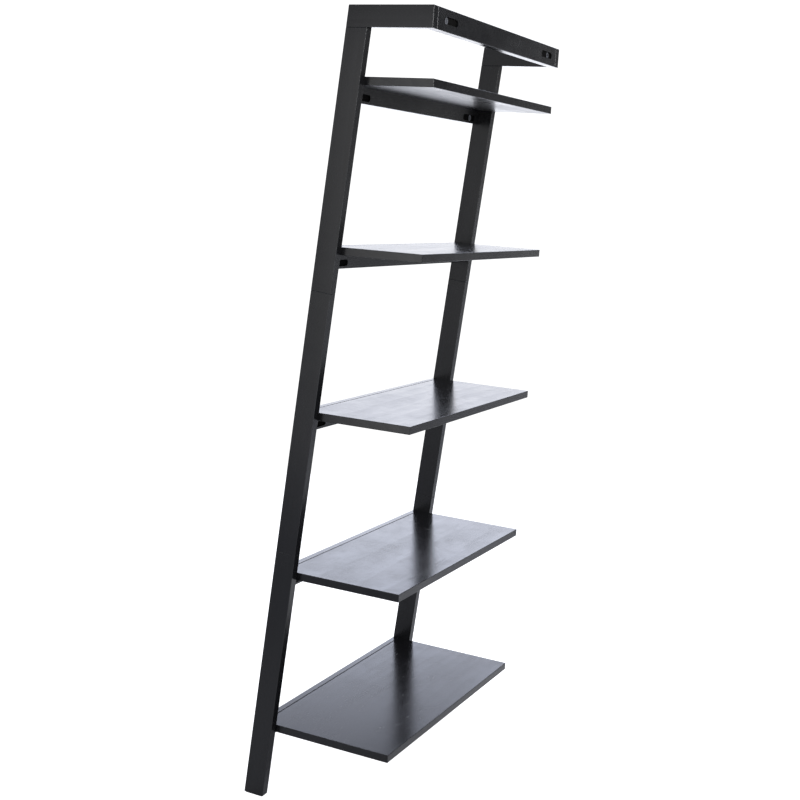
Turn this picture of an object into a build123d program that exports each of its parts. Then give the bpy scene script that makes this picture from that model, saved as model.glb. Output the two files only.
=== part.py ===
"""Leaning wall ladder shelf: two leaning posts, a U-shaped top frame and five shelf boards.

Frame: X is the width, the front is at -Y, the wall plane is at +Y and Z points up.
The origin is at the bottom centre of the overall box.  All sizes are in millimetres.
"""

import os
from math import cos, radians, sin, tan

from build123d import *

os.makedirs("parts", exist_ok=True)

# Driving dimensions of the whole shelf
overall_width = 750
overall_depth = 358
overall_height = 1800
lean_angle = 5.1
edge_radius = 1.0

# Posts and top frame
post_thickness = 22
post_depth = 50
post_section_length = 600
arm_height = 46
foot_pad_thickness = 2

# Shelf boards and the crossbars at their front, from the lowest shelf to the highest
shelf_tops = (176, 551, 926, 1295, 1656)
board_thickness = 18
crossbar_thickness = 16
crossbar_height = 52
joint_groove_width = 2
joint_groove_depth = 3
cut_margin = 1

# Milled pocket with a cam lock, at each end of the wall rail and of every crossbar
pocket_start = 30
pocket_length = 70
pocket_height = 15
pocket_floor = 4
cam_setback = 50
cam_radius = 7.5
cam_height = 8.5
cam_slot_length = 9
cam_slot_width = 1.6
cam_slot_depth = 2
crossbar_cam_drop = 39

# Cam bolts
bolt_thread_radius = 2.5
bolt_thread_length = 11
bolt_shank_radius = 3
bolt_neck_radius = 1.5
bolt_head_radius = 2.6
bolt_head_length = 3
bolt_bore_radius = 3.5
bolt_joint_gap = 0.4

# Dowels
dowel_radius = 4
dowel_length = 30
dowel_depth_in_post = 11
dowel_depth_in_crossbar = 10
rail_dowel_radius = 3
rail_dowel_length = 28
rail_dowel_offset = 14
crossbar_dowel_drop = 10
board_dowel_spacing = 200
side_dowel_setback = 34

# Cam locks under the boards
board_cam_setback = 34
board_cam_spread = 560
board_cam_hole_depth = 13

# Post splices and the joint between post and arm
splice_pin_radius = 4
splice_pin_length = 80
splice_pin_spacing = 24
arm_screw_radius = 3.5
arm_screw_length = 62
arm_screw_head_radius = 5
arm_screw_head_height = 3
arm_counterbore_radius = 6
arm_counterbore_depth = 8
screw_cap_thickness = 2
arm_fixing_spread = 24
arm_dowel_length = 40

# Places worked out from the driving dimensions
lean = radians(lean_angle)
inner_half_width = overall_width / 2 - post_thickness
post_centre_x = overall_width / 2 - post_thickness / 2
wall_y = overall_depth / 2
arm_bottom = overall_height - arm_height
rail_middle_z = overall_height - arm_height / 2
post_level_depth = post_depth / cos(lean)
bar_level_thickness = crossbar_thickness / cos(lean)
cam_axis_depth = pocket_floor + cam_height / 2
cam_x = inner_half_width - cam_setback
pocket_x = inner_half_width - pocket_start - pocket_length / 2
sides = {"left": -1, "right": 1}


def front_y(z):
    """Y of the posts' front face at height z."""
    return -overall_depth / 2 + (z - foot_pad_thickness) * tan(lean)


def board_front_y(z):
    """Y of the crossbar's rear face, which the board's front edge meets, at height z."""
    return front_y(z) + bar_level_thickness


def along_post(distance, depth):
    """(y, z) on the side of a post, at a distance along its front edge and a depth behind it."""
    y = -overall_depth / 2 + distance * sin(lean) + depth * cos(lean)
    z = foot_pad_thickness + distance * cos(lean) - depth * sin(lean)
    return (y, z)


def level_cut(z):
    """The two ends, front then rear, of a level cut through a post at height z."""
    return [(front_y(z), z), (front_y(z) + post_level_depth, z)]


def square_cut(distance):
    """The two ends, front then rear, of a cut square to a post."""
    return [along_post(distance, 0), along_post(distance, post_depth)]


def save(builder, name):
    """Label the finished piece and write its STEP file."""
    builder.part.label = name
    export_step(builder.part, f"parts/{name}.step")


def slab(profile, middle_x, width, mode=Mode.ADD):
    """Extrude a side profile of (y, z) points to a width centred on middle_x."""
    with BuildSketch(Plane.YZ.offset(middle_x)) as side_profile:
        with BuildLine():
            Polyline(*profile, close=True)
        make_face()
    extrude(side_profile.sketch, amount=width / 2, both=True, mode=mode)


def soften_edges(piece):
    """Round every edge of a plain wooden piece, before anything is milled or drilled."""
    fillet(piece.edges(), edge_radius)


def rod_x(x_start, x_end, y, z, radius, mode=Mode.ADD):
    """A cylinder along X between two places."""
    with Locations(Location(((x_start + x_end) / 2, y, z), (0, 90, 0))):
        Cylinder(radius, abs(x_end - x_start), mode=mode)


def rod_y(x, y_start, y_end, z, radius, mode=Mode.ADD):
    """A cylinder along Y between two places."""
    with Locations(Location((x, (y_start + y_end) / 2, z), (90, 0, 0))):
        Cylinder(radius, abs(y_end - y_start), mode=mode)


def rod_z(x, y, z_start, z_end, radius, mode=Mode.ADD):
    """A cylinder along Z between two places."""
    with Locations((x, y, (z_start + z_end) / 2)):
        Cylinder(radius, abs(z_end - z_start), mode=mode)


# Fixing places.  Each is the (y, z) of an axis that runs along X into both posts or arms.

def rear_plane(y, z, tilt):
    """A plane on a rear face, with its X along the shelf's width."""
    return Plane(origin=(0, y, z), x_dir=(1, 0, 0), z_dir=(0, cos(tilt), -sin(tilt)))


def crossbar_rear(top):
    """The rear face of a crossbar, centred on its cam locks."""
    z = top - crossbar_cam_drop
    return rear_plane(board_front_y(z), z, lean)


def crossbar_cam_place(top):
    """Axis of a crossbar's cam bolts."""
    axis_point = crossbar_rear(top).from_local_coords((0, 0, -cam_axis_depth))
    return (axis_point.Y, axis_point.Z)


def crossbar_dowel_place(top):
    """Middle of a crossbar's end dowel."""
    z = top - crossbar_dowel_drop
    return (front_y(z) + bar_level_thickness / 2, z)


def side_dowel_place(top):
    """Middle of the dowel between a board's side edge and a post."""
    z = top - board_thickness / 2
    return (front_y(z) + side_dowel_setback, z)


rail_cam_place = (wall_y - cam_axis_depth, rail_middle_z)
rail_dowel_places = [
    (wall_y - post_thickness / 2, rail_middle_z + offset)
    for offset in (-rail_dowel_offset, rail_dowel_offset)
]
board_dowel_xs = [-board_dowel_spacing, 0, board_dowel_spacing]
board_cam_xs = [-board_cam_spread / 2, board_cam_spread / 2]
arm_screw_y = front_y(arm_bottom) + post_level_depth / 2 - arm_fixing_spread / 2
arm_dowel_y = arm_screw_y + arm_fixing_spread


rail_rear = rear_plane(wall_y, rail_middle_z, 0)


def cut_end_pockets(face):
    """Mill a pocket and a cam lock's hole near both ends of a rail's rear face."""
    with BuildSketch(face) as pockets:
        with Locations((-pocket_x, 0), (pocket_x, 0)):
            SlotOverall(pocket_length, pocket_height)
    extrude(pockets.sketch, amount=-pocket_floor, mode=Mode.SUBTRACT)
    with BuildSketch(face) as cam_holes:
        with Locations((-cam_x, 0), (cam_x, 0)):
            Circle(cam_radius)
    extrude(cam_holes.sketch, amount=-(pocket_floor + cam_height), mode=Mode.SUBTRACT)


def bore_ends_for_bolts(y, z):
    """Drill the cam bolt's bore from both ends of a rail to its cam locks."""
    for side in sides.values():
        rod_x(side * cam_x, side * inner_half_width, y, z, bolt_bore_radius, Mode.SUBTRACT)


def bore_ends_for_dowel(y, z, radius, depth):
    """Drill a blind dowel hole into both ends of a rail or a board."""
    for side in sides.values():
        rod_x(side * inner_half_width, side * (inner_half_width - depth), y, z, radius, Mode.SUBTRACT)


def bore_inner_face(side, y, z, radius):
    """Drill a blind hole into the inner face of a post or an arm."""
    deepest = inner_half_width + dowel_depth_in_post
    rod_x(side * inner_half_width, side * deepest, y, z, radius, Mode.SUBTRACT)


# Posts: three sections on each side, cut level at the foot and at the top

section_outlines = {
    "lower": level_cut(foot_pad_thickness) + square_cut(post_section_length)[::-1],
    "middle": square_cut(post_section_length) + square_cut(2 * post_section_length)[::-1],
    "upper": square_cut(2 * post_section_length) + level_cut(arm_bottom)[::-1],
}


def splice_pin_planes(side):
    """Planes square to one post, at the middle of each of its splice pins."""
    planes = []
    for splice in (1, 2):
        for offset in (-splice_pin_spacing / 2, splice_pin_spacing / 2):
            y, z = along_post(splice * post_section_length, post_depth / 2 + offset)
            origin = (side * post_centre_x, y, z)
            planes.append(Plane(origin=origin, x_dir=(1, 0, 0), z_dir=(0, sin(lean), cos(lean))))
    return planes


def drill_post(side):
    """Drill every fixing hole of one post; a section keeps the holes that fall inside it."""
    for top in shelf_tops:
        bore_inner_face(side, *crossbar_cam_place(top), bolt_thread_radius)
        bore_inner_face(side, *crossbar_dowel_place(top), dowel_radius)
        bore_inner_face(side, *side_dowel_place(top), dowel_radius)
    with Locations(*splice_pin_planes(side)):
        Cylinder(splice_pin_radius, splice_pin_length, mode=Mode.SUBTRACT)
    x = side * post_centre_x
    screw_end = overall_height - arm_counterbore_depth - arm_screw_length
    rod_z(x, arm_screw_y, arm_bottom, screw_end, arm_screw_radius, Mode.SUBTRACT)
    rod_z(x, arm_dowel_y, arm_bottom, arm_bottom - arm_dowel_length / 2, dowel_radius, Mode.SUBTRACT)


for side_name, side in sides.items():
    for section_name, outline in section_outlines.items():
        with BuildPart() as post_section:
            slab(outline, side * post_centre_x, post_thickness)
            soften_edges(post_section)
            drill_post(side)
        save(post_section, f"{side_name}_post_{section_name}")


# Top frame: an arm on each post and the wall rail between the arms

arm_outline = [
    (front_y(arm_bottom), arm_bottom),
    (wall_y, arm_bottom),
    (wall_y, overall_height),
    (front_y(overall_height), overall_height),
]

for side_name, side in sides.items():
    x = side * post_centre_x
    with BuildPart() as arm:
        slab(arm_outline, x, post_thickness)
        soften_edges(arm)
        bore_inner_face(side, *rail_cam_place, bolt_thread_radius)
        for place in rail_dowel_places:
            bore_inner_face(side, *place, rail_dowel_radius)
        rod_z(x, arm_screw_y, arm_bottom, overall_height, arm_screw_radius, Mode.SUBTRACT)
        rod_z(x, arm_screw_y, overall_height - arm_counterbore_depth, overall_height,
              arm_counterbore_radius, Mode.SUBTRACT)
        rod_z(x, arm_dowel_y, arm_bottom, arm_bottom + arm_dowel_length / 2, dowel_radius,
              Mode.SUBTRACT)
    save(arm, f"{side_name}_arm")

rail_outline = [
    (wall_y - post_thickness, arm_bottom),
    (wall_y, arm_bottom),
    (wall_y, overall_height),
    (wall_y - post_thickness, overall_height),
]

with BuildPart() as wall_rail:
    slab(rail_outline, 0, 2 * inner_half_width)
    soften_edges(wall_rail)
    cut_end_pockets(rail_rear)
    bore_ends_for_bolts(*rail_cam_place)
    for place in rail_dowel_places:
        bore_ends_for_dowel(*place, rail_dowel_radius, rail_dowel_length - dowel_depth_in_post)
save(wall_rail, "wall_rail")


# Shelf boards and crossbars, numbered from the lowest shelf up

def board_outline(top):
    """Side profile of a board, with its front edge bevelled to the leaning crossbar."""
    bottom = top - board_thickness
    return [(board_front_y(bottom), bottom), (wall_y, bottom), (wall_y, top), (board_front_y(top), top)]


def groove_outline(top):
    """Side profile of the rebate in a board's top front edge, open towards the crossbar."""
    bottom = top - joint_groove_depth
    above = top + cut_margin
    front_bottom = board_front_y(bottom)
    front_above = board_front_y(above)
    return [(front_bottom - cut_margin, bottom), (front_bottom + joint_groove_width, bottom),
            (front_above + joint_groove_width, above), (front_above - cut_margin, above)]


def crossbar_outline(top):
    """Side profile of a crossbar, leaning with the posts and level at its top and bottom."""
    bottom = top - crossbar_height
    return [(front_y(bottom), bottom), (board_front_y(bottom), bottom),
            (board_front_y(top), top), (front_y(top), top)]


for number, top in enumerate(shelf_tops, start=1):
    middle_z = top - board_thickness / 2
    joint_y = board_front_y(middle_z)

    with BuildPart() as shelf_board:
        slab(board_outline(top), 0, 2 * inner_half_width)
        soften_edges(shelf_board)
        slab(groove_outline(top), 0, overall_width, Mode.SUBTRACT)
        bore_ends_for_dowel(*side_dowel_place(top), dowel_radius, dowel_length - dowel_depth_in_post)
        for x in board_dowel_xs:
            end = joint_y + dowel_length - dowel_depth_in_crossbar
            rod_y(x, joint_y - 2, end, middle_z, dowel_radius, Mode.SUBTRACT)
        for x in board_cam_xs:
            cam_y = joint_y + board_cam_setback
            bottom = top - board_thickness
            rod_y(x, joint_y - 2, cam_y, middle_z, bolt_bore_radius, Mode.SUBTRACT)
            rod_z(x, cam_y, bottom, bottom + board_cam_hole_depth, cam_radius, Mode.SUBTRACT)
    save(shelf_board, f"shelf_board_{number}")

    with BuildPart() as crossbar:
        slab(crossbar_outline(top), 0, 2 * inner_half_width)
        soften_edges(crossbar)
        cut_end_pockets(crossbar_rear(top))
        bore_ends_for_bolts(*crossbar_cam_place(top))
        bore_ends_for_dowel(*crossbar_dowel_place(top), dowel_radius, dowel_length - dowel_depth_in_post)
        for x in board_dowel_xs:
            start = joint_y - dowel_depth_in_crossbar
            rod_y(x, start, joint_y + 2, middle_z, dowel_radius, Mode.SUBTRACT)
        for x in board_cam_xs:
            start = joint_y - bolt_thread_length
            rod_y(x, start, joint_y + 2, middle_z, bolt_thread_radius, Mode.SUBTRACT)
    save(crossbar, f"crossbar_{number}")


# Hardware: identical fasteners of one joint share a node

def cam_locks_on(face):
    """A pair of cam locks in the pockets of one rail, with a crossed slot and a bolt opening."""
    with BuildSketch(face.offset(-pocket_floor)) as discs:
        with Locations((-cam_x, 0), (cam_x, 0)):
            Circle(cam_radius)
    extrude(discs.sketch, amount=-cam_height)
    with BuildSketch(face.offset(-pocket_floor)) as crosses:
        with Locations((-cam_x, 0), (cam_x, 0)):
            Rectangle(cam_slot_length, cam_slot_width)
            Rectangle(cam_slot_width, cam_slot_length)
    extrude(crosses.sketch, amount=-cam_slot_depth, mode=Mode.SUBTRACT)
    axis_point = face.from_local_coords((0, 0, -cam_axis_depth))
    for side in sides.values():
        rod_x(side * (cam_x - bolt_head_length), side * (cam_x + cam_radius), axis_point.Y,
              axis_point.Z, bolt_shank_radius, Mode.SUBTRACT)


def cam_bolts_at(y, z):
    """A pair of cam bolts along X, from the cam locks into the posts or arms."""
    for side in sides.values():
        thread_end = inner_half_width + bolt_thread_length
        shank_start = cam_x + cam_radius
        rod_x(side * inner_half_width, side * thread_end, y, z, bolt_thread_radius)
        rod_x(side * shank_start, side * inner_half_width, y, z, bolt_shank_radius)
        rod_x(side * cam_x, side * shank_start, y, z, bolt_neck_radius)
        rod_x(side * (cam_x - bolt_head_length), side * cam_x, y, z, bolt_head_radius)


def end_dowels_at(y, z, radius, length):
    """A pair of dowels along X across the joints at both ends of a rail or a board."""
    for side in sides.values():
        outer = inner_half_width + dowel_depth_in_post
        rod_x(side * outer, side * (outer - length), y, z, radius)


with BuildPart() as rail_cam_locks:
    cam_locks_on(rail_rear)
save(rail_cam_locks, "rail_cam_locks")

with BuildPart() as rail_cam_bolts:
    cam_bolts_at(*rail_cam_place)
save(rail_cam_bolts, "rail_cam_bolts")

with BuildPart() as rail_dowels:
    for place in rail_dowel_places:
        end_dowels_at(*place, rail_dowel_radius, rail_dowel_length)
save(rail_dowels, "rail_dowels")

with BuildPart() as crossbar_cam_locks:
    for top in shelf_tops:
        cam_locks_on(crossbar_rear(top))
save(crossbar_cam_locks, "crossbar_cam_locks")

with BuildPart() as crossbar_cam_bolts:
    for top in shelf_tops:
        cam_bolts_at(*crossbar_cam_place(top))
save(crossbar_cam_bolts, "crossbar_cam_bolts")

with BuildPart() as crossbar_dowels:
    for top in shelf_tops:
        end_dowels_at(*crossbar_dowel_place(top), dowel_radius, dowel_length)
save(crossbar_dowels, "crossbar_dowels")

with BuildPart() as side_dowels:
    for top in shelf_tops:
        end_dowels_at(*side_dowel_place(top), dowel_radius, dowel_length)
save(side_dowels, "side_dowels")

with BuildPart() as board_dowels:
    for top in shelf_tops:
        middle_z = top - board_thickness / 2
        start = board_front_y(middle_z) - dowel_depth_in_crossbar
        for x in board_dowel_xs:
            rod_y(x, start, start + dowel_length, middle_z, dowel_radius)
save(board_dowels, "board_dowels")

with BuildPart() as board_cam_locks:
    for top in shelf_tops:
        middle_z = top - board_thickness / 2
        bottom = top - board_thickness
        cam_y = board_front_y(middle_z) + board_cam_setback
        for x in board_cam_xs:
            rod_z(x, cam_y, bottom, bottom + board_cam_hole_depth, cam_radius)
            with Locations((x, cam_y, bottom + cam_slot_depth / 2)):
                Box(cam_slot_length, cam_slot_width, cam_slot_depth, mode=Mode.SUBTRACT)
                Box(cam_slot_width, cam_slot_length, cam_slot_depth, mode=Mode.SUBTRACT)
            rod_y(x, cam_y - cam_radius, cam_y + bolt_head_length, middle_z, bolt_shank_radius,
                  Mode.SUBTRACT)
save(board_cam_locks, "board_cam_locks")

with BuildPart() as board_cam_bolts:
    for top in shelf_tops:
        middle_z = top - board_thickness / 2
        joint_y = board_front_y(middle_z)
        cam_y = joint_y + board_cam_setback
        for x in board_cam_xs:
            rod_y(x, joint_y - bolt_thread_length, joint_y + bolt_joint_gap, middle_z, bolt_thread_radius)
            rod_y(x, joint_y + bolt_joint_gap, cam_y - cam_radius, middle_z, bolt_shank_radius)
            rod_y(x, cam_y - cam_radius, cam_y, middle_z, bolt_neck_radius)
            rod_y(x, cam_y, cam_y + bolt_head_length, middle_z, bolt_head_radius)
save(board_cam_bolts, "board_cam_bolts")

with BuildPart() as splice_pins:
    for side in sides.values():
        with Locations(*splice_pin_planes(side)):
            Cylinder(splice_pin_radius, splice_pin_length)
save(splice_pins, "splice_pins")

counterbore_floor = overall_height - arm_counterbore_depth

with BuildPart() as arm_screws:
    for side in sides.values():
        x = side * post_centre_x
        rod_z(x, arm_screw_y, counterbore_floor - arm_screw_length, counterbore_floor, arm_screw_radius)
        rod_z(x, arm_screw_y, counterbore_floor, counterbore_floor + arm_screw_head_height,
              arm_screw_head_radius)
save(arm_screws, "arm_screws")

with BuildPart() as arm_dowels:
    for side in sides.values():
        rod_z(side * post_centre_x, arm_dowel_y, arm_bottom - arm_dowel_length / 2,
              arm_bottom + arm_dowel_length / 2, dowel_radius)
save(arm_dowels, "arm_dowels")

with BuildPart() as screw_caps:
    for side in sides.values():
        rod_z(side * post_centre_x, arm_screw_y, overall_height - screw_cap_thickness, overall_height,
              arm_counterbore_radius)
save(screw_caps, "screw_caps")

with BuildPart() as foot_pads:
    for side in sides.values():
        with BuildSketch():
            with Locations((side * post_centre_x, (post_level_depth - overall_depth) / 2)):
                RectangleRounded(post_thickness - 4, post_depth - 4, 2)
        extrude(amount=foot_pad_thickness)
save(foot_pads, "foot_pads")
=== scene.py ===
"""Looks of the leaning ladder shelf: a black wood-grain laminate shelf in a plain white studio.

Every length is in metres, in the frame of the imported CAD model: X is the width, -Y the front,
+Y the wall side and Z is up, with the origin on the floor under the middle of the shelf.
"""

from math import cos, radians, sin

import bmesh
import bpy
from mathutils import Matrix, Vector

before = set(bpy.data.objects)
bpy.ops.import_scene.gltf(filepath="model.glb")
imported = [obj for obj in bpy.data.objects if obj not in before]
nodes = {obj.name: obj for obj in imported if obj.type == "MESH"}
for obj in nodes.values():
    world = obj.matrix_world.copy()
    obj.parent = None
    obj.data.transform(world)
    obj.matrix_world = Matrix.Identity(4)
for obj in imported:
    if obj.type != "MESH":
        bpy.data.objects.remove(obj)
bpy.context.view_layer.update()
LEAN = radians(5.1)


# ---------------------------------------------------------------- node graph helper

class Graph:
    """A small helper that adds nodes to one node tree and links them."""

    def __init__(self, tree):
        self.tree = tree
        tree.nodes.clear()

    def add(self, kind, inputs=None, **settings):
        """Add a node; inputs are values or other nodes' outputs, by socket name or number."""
        node = self.tree.nodes.new(kind)
        for name, value in settings.items():
            setattr(node, name, value)
        for socket, value in (inputs or {}).items():
            if isinstance(value, bpy.types.NodeSocket):
                self.tree.links.new(value, node.inputs[socket])
            else:
                node.inputs[socket].default_value = value
        return node

    def math(self, operation, first, second, clamp=False):
        """A Math node's output."""
        inputs = {0: first, 1: second}
        return self.add("ShaderNodeMath", inputs, operation=operation, use_clamp=clamp).outputs[0]

    def vector(self, operation, first, second=(0, 0, 0)):
        """A Vector Math node that gives a vector."""
        node = self.add("ShaderNodeVectorMath", {0: first, 1: second}, operation=operation)
        return node.outputs["Vector"]

    def dot(self, first, second):
        """The dot product of two vectors."""
        node = self.add("ShaderNodeVectorMath", {0: first, 1: second}, operation="DOT_PRODUCT")
        return node.outputs["Value"]

    def ramp(self, value, low, high, to_low=0.0, to_high=1.0, smooth=True):
        """Map a value from one range to another, held at both ends."""
        inputs = {"Value": value, "From Min": low, "From Max": high,
                  "To Min": to_low, "To Max": to_high}
        kind = "SMOOTHSTEP" if smooth else "LINEAR"
        node = self.add("ShaderNodeMapRange", inputs, interpolation_type=kind, clamp=True)
        return node.outputs[0]

    def noise(self, point, scale, detail=2.0, roughness=0.5, distortion=0.0):
        """A Noise texture's value at a point."""
        inputs = {"Vector": point, "Scale": scale, "Detail": detail, "Roughness": roughness,
                  "Distortion": distortion}
        return self.add("ShaderNodeTexNoise", inputs).outputs[0]

    def mix_colour(self, factor, first, second):
        """Blend two colours; a colour Mix node has them at sockets 6 and 7 and gives socket 2."""
        inputs = {0: factor, 6: first, 7: second}
        return self.add("ShaderNodeMix", inputs, data_type="RGBA").outputs[2]

    def bump(self, height, strength, distance, below=None):
        """A Bump node's normal, on top of another one if it is given."""
        inputs = {"Height": height, "Strength": strength, "Distance": distance}
        if below is not None:
            inputs["Normal"] = below
        return self.add("ShaderNodeBump", inputs).outputs["Normal"]


def new_material(name):
    """An empty node material and its graph."""
    material = bpy.data.materials.new(name)
    material.use_nodes = True
    return material, Graph(material.node_tree)


def grey(value):
    """A neutral linear colour with alpha."""
    return (value, value, value, 1.0)


def close_material(graph, inputs):
    """End a graph in a Principled shader with these inputs."""
    shader = graph.add("ShaderNodeBsdfPrincipled", inputs)
    graph.add("ShaderNodeOutputMaterial", {"Surface": shader.outputs[0]})


# ---------------------------------------------------------------- black laminate

LAMINATE_DARK = (0.0022, 0.0022, 0.0026, 1.0)
LAMINATE_LIGHT = (0.0062, 0.0063, 0.0072, 1.0)
# Lighter edge colour: partly rubbing wear, partly a painted highlight on the rounded edges
LAMINATE_WORN_AND_HIGHLIGHT = (0.030, 0.030, 0.033, 1.0)
PORE_COLOUR = (0.003, 0.003, 0.003, 1.0)
LAMINATE_IOR = 1.5
DULLEST = 0.25
SHINIEST = 0.20
PORE_ROUGHER = 0.03
WORN_ROUGHER = 0.10
BACKING_ROUGHER = 0.07

# Scale of each layer of the grain, along the grain and in the two directions across it
WAVER_SCALE = (2.2, 7.0, 7.0)
RING_SCALE = (0.05, 1.0, 1.0)
FIBRE_SCALE = (5.0, 190.0, 190.0)
THREAD_SCALE = (16.0, 700.0, 700.0)
PORE_SCALE = (48.0, 1150.0, 1150.0)
CLOUD_SCALE = (5.0, 9.0, 9.0)
WAVER_WIDTH = 0.030

# The raw core colour, kept darker as painted shade, and the depths below a piece's faces
# between which it takes over
MILLED_CORE_AND_SHADE = (0.0040, 0.0037, 0.0035, 1.0)
MILLED_ROUGHNESS = 0.85
MILLED_FROM = 0.0020
MILLED_FULLY = 0.0028
# Reflection of the faces and below them; the weak one below the faces is painted recess shade
FACE_SHINE = 0.5
RECESS_SHADE_SHINE = 0.05


def laminate(name, centre, axes, half, shift, milled, dull_below):
    """Black wood-grain laminate for one piece.

    axes is the piece's own rotation, with its first axis along the grain; half is its half size
    along those axes and shift moves the grain so that no two pieces look the same.  A milled
    piece shows its raw core on every surface that lies below its faces, darkened and with a much
    weaker reflection as painted shade, and dull_below gives its underside a duller backing sheet.
    """
    material, g = new_material(name)
    coordinates = g.add("ShaderNodeTexCoord").outputs
    place = coordinates["Object"]
    local = g.add("ShaderNodeMapping", {"Vector": place, "Location": centre, "Rotation": axes},
                  vector_type="TEXTURE").outputs[0]
    grain_place = g.vector("ADD", local, shift)

    # Slow waver of the grain, so that its streaks are never quite straight
    slow = g.vector("MULTIPLY", grain_place, WAVER_SCALE)
    waver = g.add("ShaderNodeTexNoise", {"Vector": slow, "Scale": 1.0, "Detail": 2.0})
    waver = g.vector("SUBTRACT", waver.outputs["Color"], (0.5, 0.5, 0.5))
    waver = g.vector("MULTIPLY", waver, (0.0, WAVER_WIDTH, WAVER_WIDTH))
    wavy = g.vector("ADD", grain_place, waver)

    # Growth rings cut lengthwise, long fibres and short pores
    ring_inputs = {"Vector": g.vector("MULTIPLY", wavy, RING_SCALE), "Scale": 11.0,
                   "Distortion": 5.0, "Detail": 3.0, "Detail Scale": 2.2, "Detail Roughness": 0.6}
    rings = g.add("ShaderNodeTexWave", ring_inputs, wave_type="RINGS", rings_direction="X",
                  wave_profile="SAW").outputs["Fac"]
    fibres = g.noise(g.vector("MULTIPLY", wavy, FIBRE_SCALE), 1.0, 5.0, 0.62)
    threads = g.noise(g.vector("MULTIPLY", wavy, THREAD_SCALE), 1.0, 3.0, 0.55)
    pore_noise = g.noise(g.vector("MULTIPLY", wavy, PORE_SCALE), 1.0, 1.0, 0.5)
    pores = g.ramp(pore_noise, 0.62, 0.72)

    # Soft clouds left by pressing and handling
    clouds = g.noise(g.vector("MULTIPLY", local, CLOUD_SCALE), 1.0, 4.0, 0.6)
    smudges = g.noise(local, 26.0, 5.0, 0.65, 0.4)

    # Distance to the nearest edge of the piece: the middle one of the distances to its faces.
    # Edges are lighter over a ragged strip up to two millimetres wide: partly rubbing wear and
    # partly a painted highlight along the rounded edges.
    spread = g.vector("SUBTRACT", half, g.vector("ABSOLUTE", local))
    gaps = g.add("ShaderNodeSeparateXYZ", {0: spread}).outputs
    low = g.math("MINIMUM", gaps[0], gaps[1])
    high = g.math("MAXIMUM", gaps[0], gaps[1])
    edge_distance = g.math("MAXIMUM", low, g.math("MINIMUM", high, gaps[2]))
    edge_strip_noise = g.noise(local, 140.0, 4.0, 0.7)
    reach = g.ramp(edge_strip_noise, 0.35, 0.75, 0.0004, 0.0020)
    worn_and_highlight = g.math("SUBTRACT", 1.0, g.math("DIVIDE", edge_distance, reach), clamp=True)
    worn_and_highlight = g.math("MULTIPLY", worn_and_highlight, g.ramp(clouds, 0.35, 0.65, 0.35, 0.9))

    # Colour, from the layers of the grain together
    figure = g.math("ADD", g.math("MULTIPLY", rings, 0.40), g.math("MULTIPLY", fibres, 0.62))
    figure = g.math("ADD", figure, g.math("MULTIPLY", threads, 0.26))
    tone = g.ramp(figure, 0.34, 0.98, smooth=False)
    colour = g.mix_colour(tone, LAMINATE_DARK, LAMINATE_LIGHT)
    colour = g.mix_colour(g.math("MULTIPLY", pores, 0.65), colour, PORE_COLOUR)
    # Lighter edges, partly rubbing wear and partly a painted highlight on the rounded edges
    colour = g.mix_colour(worn_and_highlight, colour, LAMINATE_WORN_AND_HIGHLIGHT)

    # Roughness: clouds and smudges, a little from the grain, and duller where it is worn
    gloss = g.ramp(clouds, 0.3, 0.7, SHINIEST, DULLEST)
    gloss = g.math("ADD", gloss, g.ramp(smudges, 0.40, 0.72, -0.008, 0.022))
    gloss = g.math("ADD", gloss, g.ramp(figure, 0.35, 0.95, 0.018, -0.014))
    gloss = g.math("ADD", gloss, g.math("MULTIPLY", pores, PORE_ROUGHER))
    gloss = g.math("ADD", gloss, g.math("MULTIPLY", worn_and_highlight, WORN_ROUGHER))
    if dull_below:
        facing_up = g.add("ShaderNodeSeparateXYZ", {0: coordinates["Normal"]}).outputs[2]
        gloss = g.math("ADD", gloss, g.ramp(facing_up, -0.9, -0.5, BACKING_ROUGHER, 0.0))
    # Below the faces: raw core colour and roughness, with the colour darkened as painted shade
    if milled:
        core_and_shade = g.ramp(g.math("MINIMUM", low, gaps[2]), MILLED_FROM, MILLED_FULLY)
        colour = g.mix_colour(core_and_shade, colour, MILLED_CORE_AND_SHADE)
        gloss = g.ramp(core_and_shade, 0.0, 1.0, gloss, MILLED_ROUGHNESS, smooth=False)

    # Relief: a faint waviness of the panel, then the pressed grain, then the pores
    relief = g.math("ADD", g.math("MULTIPLY", fibres, 0.6), g.math("MULTIPLY", threads, 0.4))
    normal = g.bump(g.noise(local, 30.0, 2.0, 0.5), 0.05, 0.0006)
    normal = g.bump(relief, 0.05, 0.00018, normal)
    normal = g.bump(g.math("SUBTRACT", 1.0, pores), 0.03, 0.00006, normal)

    inputs = {"Base Color": colour, "Roughness": gloss, "Normal": normal, "IOR": LAMINATE_IOR}
    # Below the faces the reflection is turned down: painted shade in pockets and holes
    if milled:
        shine_with_shade = g.ramp(core_and_shade, 0.0, 1.0, FACE_SHINE, RECESS_SHADE_SHINE, smooth=False)
        inputs["Specular IOR Level"] = shine_with_shade
    close_material(g, inputs)
    return material


# Each kind of piece's own axes as the columns of a rotation, the first one along its grain
BOARD_AXES = Matrix.Identity(3)
POST_AXES = Matrix(((0, 0, -1), (sin(LEAN), cos(LEAN), 0), (cos(LEAN), -sin(LEAN), 0)))
ARM_AXES = Matrix(((0, 1, 0), (1, 0, 0), (0, 0, -1)))
CROSSBAR_AXES = Matrix(((1, 0, 0), (0, cos(LEAN), sin(LEAN)), (0, -sin(LEAN), cos(LEAN))))


def own_box(obj, axes):
    """Centre and half size of a CAD node along its own axes."""
    points = [axes.transposed() @ vertex.co for vertex in obj.data.vertices]
    low = Vector(map(min, zip(*points)))
    high = Vector(map(max, zip(*points)))
    return axes @ ((low + high) / 2), (high - low) / 2


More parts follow.
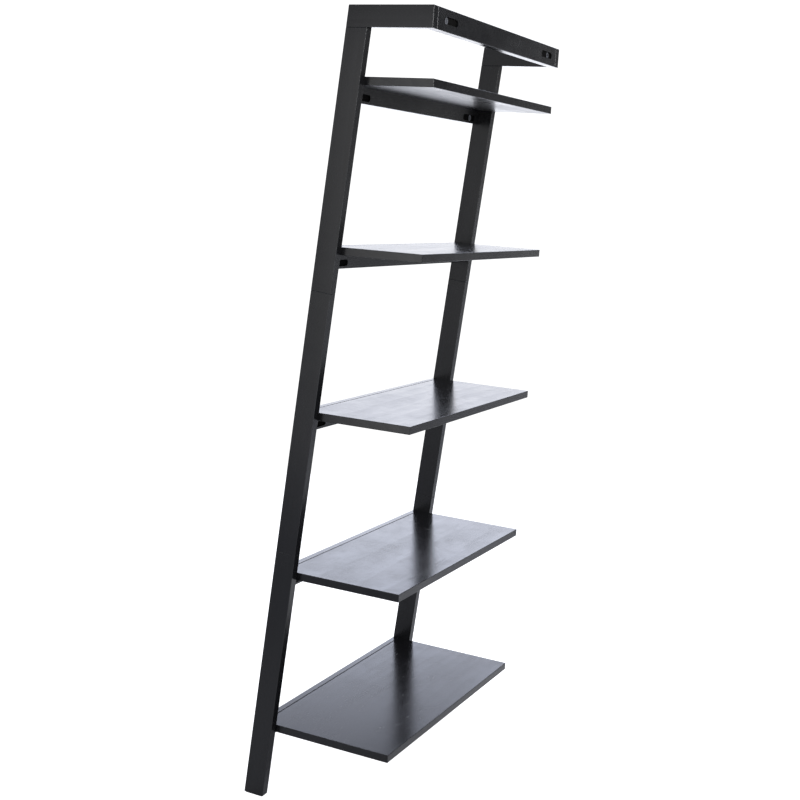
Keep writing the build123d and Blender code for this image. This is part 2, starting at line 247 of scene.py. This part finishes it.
def set_material(obj, material):
    """Give every slot of a node the same material."""
    if not obj.material_slots:
        obj.data.materials.append(material)
    for slot in obj.material_slots:
        slot.material = material


wood_axes = {"wall_rail": BOARD_AXES}
for side in ("left", "right"):
    wood_axes[f"{side}_arm"] = ARM_AXES
    for section in ("lower", "middle", "upper"):
        wood_axes[f"{side}_post_{section}"] = POST_AXES
for number in range(1, 6):
    wood_axes[f"shelf_board_{number}"] = BOARD_AXES
    wood_axes[f"crossbar_{number}"] = CROSSBAR_AXES

for count, (node_name, axes) in enumerate(wood_axes.items()):
    centre, half = own_box(nodes[node_name], axes)
    shift = Vector((1.37 * count, 0.213 * (count % 5) + 0.06, 0.171 * (count % 7) + 0.045))
    is_board = node_name.startswith("shelf_board")
    milled = is_board or node_name.startswith(("wall_rail", "crossbar"))
    material = laminate(f"black_laminate_{node_name}", centre, axes.to_euler(), half, shift,
                        milled, is_board)
    set_material(nodes[node_name], material)


# ---------------------------------------------------------------- metal, beech, plastic, rubber

def metal(name, bright, dull, gloss, streak):
    """Plated or bare steel, with tumbling marks and a little tarnish."""
    material, g = new_material(name)
    place = g.add("ShaderNodeTexCoord").outputs["Object"]
    tarnish = g.noise(place, 420.0, 4.0, 0.6)
    marks = g.noise(g.vector("MULTIPLY", place, streak), 1.0, 4.0, 0.65)
    colour = g.mix_colour(g.ramp(tarnish, 0.35, 0.70), bright, dull)
    rough = g.math("ADD", g.ramp(marks, 0.3, 0.7, gloss - 0.07, gloss + 0.10),
                   g.ramp(tarnish, 0.4, 0.7, 0.0, 0.08))
    normal = g.bump(g.noise(place, 900.0, 3.0, 0.6), 0.25, 0.00012)
    normal = g.bump(marks, 0.20, 0.00008, normal)
    close_material(g, {"Base Color": colour, "Roughness": rough, "Normal": normal, "Metallic": 1.0})
    return material


def beech(name):
    """Pale turned beech with flecks along its fibres."""
    material, g = new_material(name)
    place = g.add("ShaderNodeTexCoord").outputs["Object"]
    fibres = g.noise(g.vector("MULTIPLY", place, (60.0, 900.0, 900.0)), 1.0, 4.0, 0.6)
    flecks = g.ramp(g.noise(g.vector("MULTIPLY", place, (220.0, 1400.0, 1400.0)), 1.0), 0.6, 0.7)
    colour = g.mix_colour(g.ramp(fibres, 0.3, 0.7), (0.52, 0.33, 0.18, 1), (0.66, 0.46, 0.28, 1))
    colour = g.mix_colour(g.math("MULTIPLY", flecks, 0.5), colour, (0.36, 0.20, 0.10, 1))
    rough = g.ramp(fibres, 0.3, 0.7, 0.55, 0.70)
    normal = g.bump(fibres, 0.4, 0.00015)
    close_material(g, {"Base Color": colour, "Roughness": rough, "Normal": normal})
    return material


def moulded(name, dark, light, gloss, grain_scale, depth):
    """Moulded plastic or rubber with a fine even grain and faint wear."""
    material, g = new_material(name)
    place = g.add("ShaderNodeTexCoord").outputs["Object"]
    grain = g.noise(place, grain_scale, 3.0, 0.6)
    wear = g.noise(place, 90.0, 4.0, 0.6)
    colour = g.mix_colour(g.ramp(wear, 0.35, 0.75), dark, light)
    rough = g.math("ADD", g.ramp(wear, 0.3, 0.7, gloss - 0.05, gloss + 0.08),
                   g.ramp(grain, 0.3, 0.7, -0.03, 0.03))
    normal = g.bump(grain, 0.35, depth)
    close_material(g, {"Base Color": colour, "Roughness": rough, "Normal": normal})
    return material


zinc = metal("cast_zinc", (0.36, 0.37, 0.39, 1), (0.20, 0.21, 0.23, 1), 0.36,
             (900.0, 900.0, 900.0))
steel = metal("plain_steel", (0.56, 0.56, 0.57, 1), (0.42, 0.42, 0.43, 1), 0.36,
              (200.0, 2200.0, 2200.0))
wood_pins = beech("beech")
plastic = moulded("black_plastic", (0.010, 0.010, 0.011, 1), (0.020, 0.020, 0.022, 1), 0.38,
                  1500.0, 0.00006)
rubber = moulded("rubber", (0.014, 0.014, 0.014, 1), (0.030, 0.029, 0.028, 1), 0.72,
                 900.0, 0.00015)

hardware = {
    zinc: ("rail_cam_locks", "crossbar_cam_locks", "board_cam_locks"),
    steel: ("rail_cam_bolts", "crossbar_cam_bolts", "board_cam_bolts", "arm_screws", "splice_pins"),
    wood_pins: ("rail_dowels", "crossbar_dowels", "side_dowels", "board_dowels", "arm_dowels"),
    plastic: ("screw_caps",),
    rubber: ("foot_pads",),
}
for material, node_names in hardware.items():
    for node_name in node_names:
        set_material(nodes[node_name], material)


# ---------------------------------------------------------------- studio

FLOOR_RADIUS = 3.2
FLOOR_DROP = 0.0002
FLOOR_GLOW = 1.0
FLOOR_GREYS = (0.78, 0.82)
BACKGROUND_STRENGTH = 1.15

# Level directions from the shelf: the way the camera looks, and the way to the camera's left
BACKDROP_WAY = Vector((-0.8996, -0.4367, 0.0))
LEFT_WAY = Vector((0.4367, -0.8996, 0.0))

# Where each part of the surround fades in, by how far a level direction agrees with those two
RIGHT_FADE = (0.30, 0.52)
LEFT_FADE = (-0.35, 0.35)
BEHIND_FADE = (0.66, 0.95)

# The largest brightness that the profiles below hold
BRIGHTEST = 6.0

# Brightness of the surround by the height of a direction, -1 straight down and 1 straight up
BEHIND_LIGHT = ((-1.0, 0.9), (-0.35, 1.5), (-0.12, 2.3), (-0.06, 3.6), (0.0, 1.50),
                (0.05, 1.36), (0.13, 1.52), (0.235, 3.0), (0.30, 2.75), (0.345, 3.4), (0.385, 1.2),
                (0.42, 0.15), (1.0, 0.55))
LEFT_LIGHT = ((-1.0, 0.5), (0.0, 0.55), (0.20, 0.55), (0.42, 0.20), (1.0, 0.55))
RIGHT_LIGHT = ((-1.0, 0.8), (-0.40, 0.80), (-0.28, 0.55), (-0.17, 0.34), (-0.05, 0.22),
               (0.07, 0.05), (0.13, 0.02), (0.3, 0.08), (1.0, 0.55))
FRONT_LIGHT = ((-1.0, 0.5), (-0.05, 0.6), (0.05, 1.0), (0.35, 0.9), (0.5, 0.25), (1.0, 0.55))

# The surround's tint by height, slightly blue as the photo's reflections are
SURROUND_TINT = ((-1.0, (0.92, 0.96, 1.10)), (-0.2, (0.94, 0.97, 1.07)),
                 (0.02, (0.995, 0.995, 1.01)), (0.13, (0.985, 0.99, 1.025)),
                 (0.29, (0.89, 0.95, 1.15)), (1.0, (0.93, 0.97, 1.10)))

# Lamps: name, place, target, width, height, power in watts and spread in degrees
LAMPS = (
    ("floor_softbox", (-1.2, 0.75, 3.4), (-1.2, 0.6, 0), 2.4, 0.5, 5, 40),
    ("edge_softbox", (1.2, 2.5, 2.2), (0, 0.2, 1.8), 1.1, 0.8, 14, 80),
    ("left_softbox", (1.6, -0.10, 1.22), (0.0, -0.10, 1.22), 1.12, 1.38, 5.5, 180),
)


def profile(graph, height, stops):
    """A ramp over the height of a direction; each stop is a height and a brightness or a colour."""
    place = graph.ramp(height, -1.0, 1.0, smooth=False)
    node = graph.add("ShaderNodeValToRGB", {0: place})
    points = node.color_ramp.elements
    while len(points) < len(stops):
        points.new(0.5)
    for point, (stop, value) in zip(points, stops):
        point.position = (stop + 1) / 2
        colour = value if isinstance(value, tuple) else (value, value, value)
        point.color = (*(channel / BRIGHTEST for channel in colour), 1.0)
    return graph.vector("MULTIPLY", node.outputs[0], (BRIGHTEST,) * 3)


def white_floor():
    """A round pale floor that the camera sees as plain white."""
    mesh = bpy.data.meshes.new("studio_floor")
    shape = bmesh.new()
    bmesh.ops.create_circle(shape, cap_ends=True, segments=96, radius=FLOOR_RADIUS)
    shape.to_mesh(mesh)
    shape.free()
    floor = bpy.data.objects.new("studio_floor", mesh)
    bpy.context.scene.collection.objects.link(floor)
    floor.location.z = -FLOOR_DROP
    material, g = new_material("studio_floor_paint")
    place = g.add("ShaderNodeTexCoord").outputs["Object"]
    mottle = g.noise(place, 3.0, 4.0)
    colour = g.mix_colour(mottle, grey(FLOOR_GREYS[0]), grey(FLOOR_GREYS[1]))
    seen = g.add("ShaderNodeLightPath").outputs["Is Camera Ray"]
    glow = g.math("MULTIPLY", seen, FLOOR_GLOW)
    close_material(g, {"Base Color": colour, "Roughness": 0.9, "Specular IOR Level": 0.1,
                       "Emission Color": grey(1.0), "Emission Strength": glow})
    set_material(floor, material)


def soft_light(name, place, target, width, height, power, spread):
    """A large soft rectangular lamp aimed at a point and hidden from the camera."""
    lamp = bpy.data.lights.new(name, "AREA")
    lamp.shape = "RECTANGLE"
    lamp.size = width
    lamp.size_y = height
    lamp.energy = power
    lamp.spread = radians(spread)
    holder = bpy.data.objects.new(name, lamp)
    bpy.context.scene.collection.objects.link(holder)
    holder.location = place
    aim = Vector(target) - Vector(place)
    holder.rotation_euler = aim.to_track_quat("-Z", "Y").to_euler()
    holder.visible_camera = False


def studio_world():
    """White surround: brightest behind the shelf as the camera sees it, dimmer elsewhere."""
    world = bpy.data.worlds.new("studio_white")
    bpy.context.scene.world = world
    world.use_nodes = True
    g = Graph(world.node_tree)
    way = g.add("ShaderNodeTexCoord").outputs["Generated"]
    height = g.add("ShaderNodeSeparateXYZ", {0: way}).outputs[2]
    level_way = g.vector("NORMALIZE", g.vector("MULTIPLY", way, (1.0, 1.0, 0.0)))
    facing = g.dot(level_way, BACKDROP_WAY)
    leftness = g.dot(level_way, LEFT_WAY)

    right = g.mix_colour(g.ramp(facing, *RIGHT_FADE), profile(g, height, FRONT_LIGHT),
                         profile(g, height, RIGHT_LIGHT))
    sides = g.mix_colour(g.ramp(leftness, *LEFT_FADE), right, profile(g, height, LEFT_LIGHT))
    total = g.mix_colour(g.ramp(facing, *BEHIND_FADE), sides, profile(g, height, BEHIND_LIGHT))
    total = g.vector("MULTIPLY", total, profile(g, height, SURROUND_TINT))

    lit = g.add("ShaderNodeBackground", {"Color": total, "Strength": 1.0})
    white = g.add("ShaderNodeBackground", {"Color": grey(1.0), "Strength": BACKGROUND_STRENGTH})
    seen = g.add("ShaderNodeLightPath").outputs["Is Camera Ray"]
    both = g.add("ShaderNodeMixShader", {0: seen, 1: lit.outputs[0], 2: white.outputs[0]})
    g.add("ShaderNodeOutputWorld", {"Surface": both.outputs[0]})


white_floor()
studio_world()
for lamp_row in LAMPS:
    soft_light(*lamp_row)


# ---------------------------------------------------------------- camera and view

CAMERA_PLACE = Vector((2.8419, 1.3588, 1.4357))
CAMERA_AIM = Vector((-0.88768, -0.43097, -0.16214))
CAMERA_ROLL = radians(3.81)
CAMERA_LENS = 58.75

camera_data = bpy.data.cameras.new("photo_camera")
camera_data.sensor_width = 36
camera_data.lens = CAMERA_LENS
camera_data.clip_start = 0.05
camera_data.clip_end = 60
camera = bpy.data.objects.new("photo_camera", camera_data)
bpy.context.scene.collection.objects.link(camera)
aim = CAMERA_AIM.normalized()
level_right = aim.cross(Vector((0, 0, 1))).normalized()
level_up = level_right.cross(aim)
camera_right = level_right * cos(CAMERA_ROLL) + level_up * sin(CAMERA_ROLL)
camera_up = level_up * cos(CAMERA_ROLL) - level_right * sin(CAMERA_ROLL)
turn = Matrix((camera_right, camera_up, -aim)).transposed()
camera.matrix_world = Matrix.Translation(CAMERA_PLACE) @ turn.to_4x4()
bpy.context.scene.camera = camera

bpy.context.scene.view_settings.view_transform = "Standard"
bpy.context.scene.view_settings.look = "None"

bpy.context.view_layer.update()
